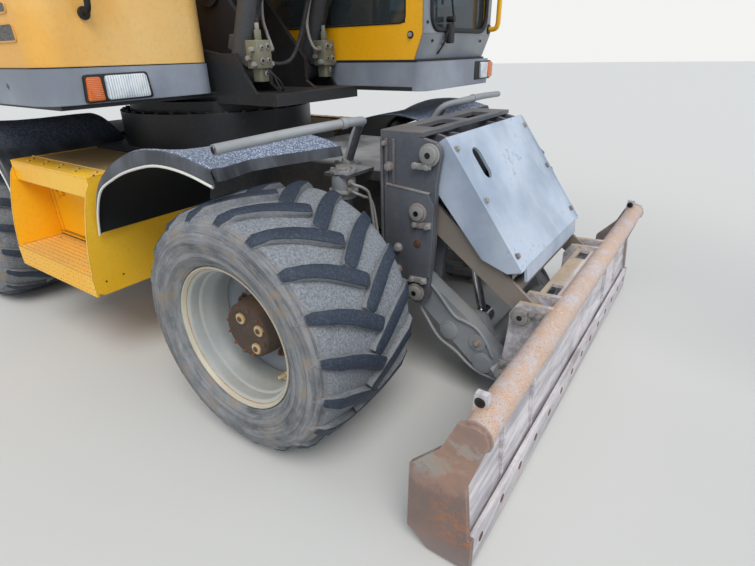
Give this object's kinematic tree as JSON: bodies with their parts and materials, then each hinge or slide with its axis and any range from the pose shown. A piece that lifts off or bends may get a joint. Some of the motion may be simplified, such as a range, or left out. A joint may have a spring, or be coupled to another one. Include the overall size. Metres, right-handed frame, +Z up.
{
  "type": "wheeled excavator",
  "caption": "Wheeled excavator with two-piece boom, bucket, front dozer blade, steered front axle and slewing cab structure, parked with its bucket down.",
  "frame": {"origin": "middle of the machine's box at ground level", "axes": "+X forward along the machine, +Y to its left, +Z up"},
  "size_m": [7.3598, 2.5698, 4.3948],
  "materials": {
    "yellow_paint": "semi-gloss",
    "faded_paint": "matt, faded",
    "grey_paint": "worn satin",
    "dark_paint": "worn satin",
    "worn_steel": "rusty and worn",
    "cast_steel": "rough cast",
    "pale_sheet": "scratched",
    "tyre": "muddy",
    "rim_paint": "dirty satin",
    "glass": "clear",
    "chrome": "polished",
    "dark_plastic": "textured",
    "fabric": "woven",
    "lamp": "clear"
  },
  "bodies": {
    "chassis": {"chassis_frame": "dark_paint", "slew_ring": "dark_paint", "step_boxes": "yellow_paint", "front_axle": "dark_paint", "rear_axle": "dark_paint", "mudguards": "dark_plastic", "blade_bracket": "dark_paint"},
    "toolbox_door": {"toolbox_door": "yellow_paint"},
    "knuckle_left": {"knuckle_left": "dark_paint"},
    "knuckle_right": {"knuckle_right": "dark_paint"},
    "tie_rod_left": {"tie_rod_left": "dark_paint"},
    "tie_rod_right": {"tie_rod_right": "dark_paint"},
    "steering_rod": {"steering_rod": "chrome"},
    "wheel_front_left": {"tyre_front_left": "tyre", "rim_front_left": "rim_paint"},
    "wheel_front_right": {"tyre_front_right": "tyre", "rim_front_right": "rim_paint"},
    "wheel_rear_left": {"tyre_rear_left": "tyre", "rim_rear_left": "rim_paint"},
    "wheel_rear_right": {"tyre_rear_right": "tyre", "rim_rear_right": "rim_paint"},
    "blade_arms": {"blade_arms": "cast_steel"},
    "blade_links": {"blade_links": "worn_steel"},
    "blade_guard": {"blade_guard": "pale_sheet"},
    "blade": {"blade": "worn_steel"},
    "blade_barrels": {"blade_barrels": "dark_paint"},
    "blade_rods": {"blade_rods": "chrome"},
    "upper": {"upper_frame": "dark_paint", "counterweight": "grey_paint", "engine_bay": "yellow_paint", "engine_block": "dark_paint", "right_housing": "faded_paint", "lower_trim": "grey_paint", "lamps": "lamp", "cab_shell": "yellow_paint", "cab_glass": "glass", "seat": "fabric", "controls": "dark_plastic", "handrails": "dark_plastic"},
    "cab_door": {"cab_door": "yellow_paint", "cab_door_glass": "glass"},
    "engine_hood": {"engine_hood": "yellow_paint"},
    "left_side_door": {"left_side_door": "yellow_paint"},
    "right_side_door": {"right_side_door": "yellow_paint"},
    "base_boom": {"base_boom": "dark_paint"},
    "lift_barrels": {"lift_barrels": "dark_paint"},
    "lift_rods": {"lift_rods": "chrome"},
    "upper_boom": {"upper_boom": "dark_paint"},
    "adjust_barrel": {"adjust_barrel": "dark_paint"},
    "adjust_rod": {"adjust_rod": "chrome"},
    "stick": {"stick": "dark_paint"},
    "stick_barrel": {"stick_barrel": "dark_paint"},
    "stick_rod": {"stick_rod": "chrome"},
    "bucket_barrel": {"bucket_barrel": "dark_paint"},
    "bucket_rod": {"bucket_rod": "chrome"},
    "rocker": {"rocker": "worn_steel"},
    "link": {"link": "worn_steel"},
    "bucket": {"bucket": "worn_steel"}
  },
  "joints": [
    {"name": "steer_left", "type": "hinge", "parent": "chassis", "child": "knuckle_left", "pos_m": [-0.07992, 0.925, 0.528], "axis": [0, 0, 1], "range_deg": [-26, 26]},
    {"name": "steer_right", "type": "hinge", "parent": "chassis", "child": "knuckle_right", "pos_m": [-0.07992, -0.925, 0.528], "axis": [0, 0, 1], "range_deg": [-26.5, 26.5]},
    {"name": "tie_rod_left_turn", "type": "hinge", "parent": "knuckle_left", "child": "tie_rod_left", "pos_m": [-0.26492, 0.75, 0.652], "axis": [0, 0, 1], "range_deg": [-40.34, 40.34]},
    {"name": "tie_rod_right_turn", "type": "hinge", "parent": "knuckle_right", "child": "tie_rod_right", "pos_m": [-0.26492, -0.75, 0.652], "axis": [0, 0, 1], "range_deg": [-40.34, 40.34]},
    {"name": "steering_rod_slide", "type": "slide", "parent": "chassis", "child": "steering_rod", "axis": [0, 1, 0], "range_m": [-0.08199, 0.08199]},
    {"name": "wheel_front_left_spin", "type": "hinge", "parent": "knuckle_left", "child": "wheel_front_left", "pos_m": [-0.07992, 0.985, 0.528], "axis": [0, 1, 0], "continuous": true},
    {"name": "wheel_front_right_spin", "type": "hinge", "parent": "knuckle_right", "child": "wheel_front_right", "pos_m": [-0.07992, -0.985, 0.528], "axis": [0, 1, 0], "continuous": true},
    {"name": "wheel_rear_left_spin", "type": "hinge", "parent": "chassis", "child": "wheel_rear_left", "pos_m": [-2.67992, 0.985, 0.528], "axis": [0, 1, 0], "continuous": true},
    {"name": "wheel_rear_right_spin", "type": "hinge", "parent": "chassis", "child": "wheel_rear_right", "pos_m": [-2.67992, -0.985, 0.528], "axis": [0, 1, 0], "continuous": true},
    {"name": "toolbox_lid", "type": "hinge", "parent": "chassis", "child": "toolbox_door", "pos_m": [-1.50992, -1.039, 0.892], "axis": [-1, 0, 0], "range_deg": [0, 85]},
    {"name": "blade_lower", "type": "hinge", "parent": "chassis", "child": "blade_arms", "pos_m": [0.28708, 0, 0.512], "axis": [0, 1, 0], "range_deg": [-40, 16]},
    {"name": "blade_link_turn", "type": "hinge", "parent": "chassis", "child": "blade_links", "pos_m": [0.29208, 0, 0.893], "axis": [0, 1, 0], "range_deg": [-36.13, 14.75]},
    {"name": "blade_guard_turn", "type": "hinge", "parent": "chassis", "child": "blade_guard", "pos_m": [0.34008, 0, 1.141], "axis": [0, 1, 0], "range_deg": [-40.5, 16.5]},
    {"name": "blade_tilt", "type": "hinge", "parent": "blade_arms", "child": "blade", "pos_m": [0.73608, 0, 0.222], "axis": [0, 1, 0], "range_deg": [-19.09, 46.97]},
    {"name": "blade_barrel_turn", "type": "hinge", "parent": "chassis", "child": "blade_barrels", "pos_m": [0.34008, 0, 1.141], "axis": [0, 1, 0], "range_deg": [-9.25, 4]},
    {"name": "blade_rod_slide", "type": "slide", "parent": "blade_barrels", "child": "blade_rods", "axis": [0.2496, 0, -0.9684], "range_m": [-0.16876, 0.06871]},
    {"name": "swing", "type": "hinge", "parent": "chassis", "child": "upper", "pos_m": [-1.52992, 0, 1.312], "axis": [0, 0, 1], "continuous": true},
    {"name": "cab_door_turn", "type": "hinge", "parent": "upper", "child": "cab_door", "pos_m": [-1.37992, 1.264, 1.534], "axis": [0, 0, 1], "range_deg": [0, 95]},
    {"name": "hood_lift", "type": "hinge", "parent": "upper", "child": "engine_hood", "pos_m": [-2.01792, 0, 2.266], "axis": [0, 1, 0], "range_deg": [0, 50]},
    {"name": "left_side_door_turn", "type": "hinge", "parent": "upper", "child": "left_side_door", "pos_m": [-2.08992, 1.249, 1.7], "axis": [0, 0, -1], "range_deg": [0, 100]},
    {"name": "right_side_door_turn", "type": "hinge", "parent": "upper", "child": "right_side_door", "pos_m": [-2.08992, -1.249, 1.7], "axis": [0, 0, 1], "range_deg": [0, 100]},
    {"name": "boom_raise", "type": "hinge", "parent": "upper", "child": "base_boom", "pos_m": [-1.26992, 0, 1.86], "axis": [0, -1, 0], "range_deg": [-48, 18]},
    {"name": "lift_barrel_turn", "type": "hinge", "parent": "upper", "child": "lift_barrels", "pos_m": [-0.96992, 0, 1.43], "axis": [0, -1, 0], "range_deg": [-44.91, 17.15]},
    {"name": "lift_rod_slide", "type": "slide", "parent": "lift_barrels", "child": "lift_rods", "axis": [0.382, 0, 0.9241], "range_m": [-0.40859, 0.15447]},
    {"name": "knee_fold", "type": "hinge", "parent": "base_boom", "child": "upper_boom", "pos_m": [-0.02461, 0, 3.85291], "axis": [0, 1, 0], "range_deg": [-44, 26]},
    {"name": "adjust_barrel_turn", "type": "hinge", "parent": "base_boom", "child": "adjust_barrel", "pos_m": [-1.23182, 0, 2.5437], "axis": [0, 1, 0], "range_deg": [-5.74, 3.6]},
    {"name": "adjust_rod_slide", "type": "slide", "parent": "adjust_barrel", "child": "adjust_rod", "axis": [0.5173, 0, 0.8558], "range_m": [-0.29956, 0.17783]},
    {"name": "stick_reach", "type": "hinge", "parent": "upper_boom", "child": "stick", "pos_m": [2.72539, 0, 3.85291], "axis": [0, -1, 0], "range_deg": [-54, 50]},
    {"name": "stick_barrel_turn", "type": "hinge", "parent": "upper_boom", "child": "stick_barrel", "pos_m": [0.87539, 0, 4.18291], "axis": [0, -1, 0], "range_deg": [-0.85, 0.83]},
    {"name": "stick_rod_slide", "type": "slide", "parent": "stick_barrel", "child": "stick_rod", "axis": [0.9966, 0, 0.0818], "range_m": [-0.37763, 0.40768]},
    {"name": "bucket_curl", "type": "hinge", "parent": "stick", "child": "bucket", "pos_m": [3.10742, 0, 1.68634], "axis": [0, 1, 0], "range_deg": [-42, 83]},
    {"name": "rocker_turn", "type": "hinge", "parent": "stick", "child": "rocker", "pos_m": [3.05244, 0, 2.11328], "axis": [0, 1, 0], "range_deg": [-39.3, 77.17]},
    {"name": "link_turn", "type": "hinge", "parent": "rocker", "child": "link", "pos_m": [3.45736, 0, 2.25799], "axis": [0, 1, 0], "range_deg": [-77.83, 39.63]},
    {"name": "bucket_barrel_turn", "type": "hinge", "parent": "stick", "child": "bucket_barrel", "pos_m": [3.08796, 0, 3.40913], "axis": [0, 1, 0], "range_deg": [-4.18, 7.78]},
    {"name": "bucket_rod_slide", "type": "slide", "parent": "bucket_barrel", "child": "bucket_rod", "axis": [0.3056, 0, -0.9522], "range_m": [-0.25428, 0.50056]}
  ],
  "couplings": [
    {"joint": "steer_right", "follows": "steer_left", "ratio": 1},
    {"joint": "tie_rod_left_turn", "follows": "steer_left", "ratio": -1.5324},
    {"joint": "tie_rod_right_turn", "follows": "steer_left", "ratio": -1.5324},
    {"joint": "steering_rod_slide", "follows": "steer_left", "m_per_rad": -0.17628},
    {"joint": "blade_link_turn", "follows": "blade_lower", "ratio": 0.89088},
    {"joint": "blade_guard_turn", "follows": "blade_lower", "ratio": 1},
    {"joint": "blade_tilt", "follows": "blade_lower", "ratio": -1.1618},
    {"joint": "blade_barrel_turn", "follows": "blade_lower", "ratio": 0.21865},
    {"joint": "blade_rod_slide", "follows": "blade_lower", "m_per_rad": 0.23887},
    {"joint": "lift_barrel_turn", "follows": "boom_raise", "ratio": 0.92511},
    {"joint": "lift_rod_slide", "follows": "boom_raise", "m_per_rad": 0.48533},
    {"joint": "adjust_barrel_turn", "follows": "knee_fold", "ratio": 0.11902},
    {"joint": "adjust_rod_slide", "follows": "knee_fold", "m_per_rad": 0.38748},
    {"joint": "stick_barrel_turn", "follows": "stick_reach", "ratio": 0.00653},
    {"joint": "stick_rod_slide", "follows": "stick_reach", "m_per_rad": -0.43044},
    {"joint": "rocker_turn", "follows": "bucket_curl", "ratio": 0.92372},
    {"joint": "link_turn", "follows": "bucket_curl", "ratio": -0.93174},
    {"joint": "bucket_barrel_turn", "follows": "bucket_curl", "ratio": 0.08771},
    {"joint": "bucket_rod_slide", "follows": "bucket_curl", "m_per_rad": 0.34416}
  ]
}
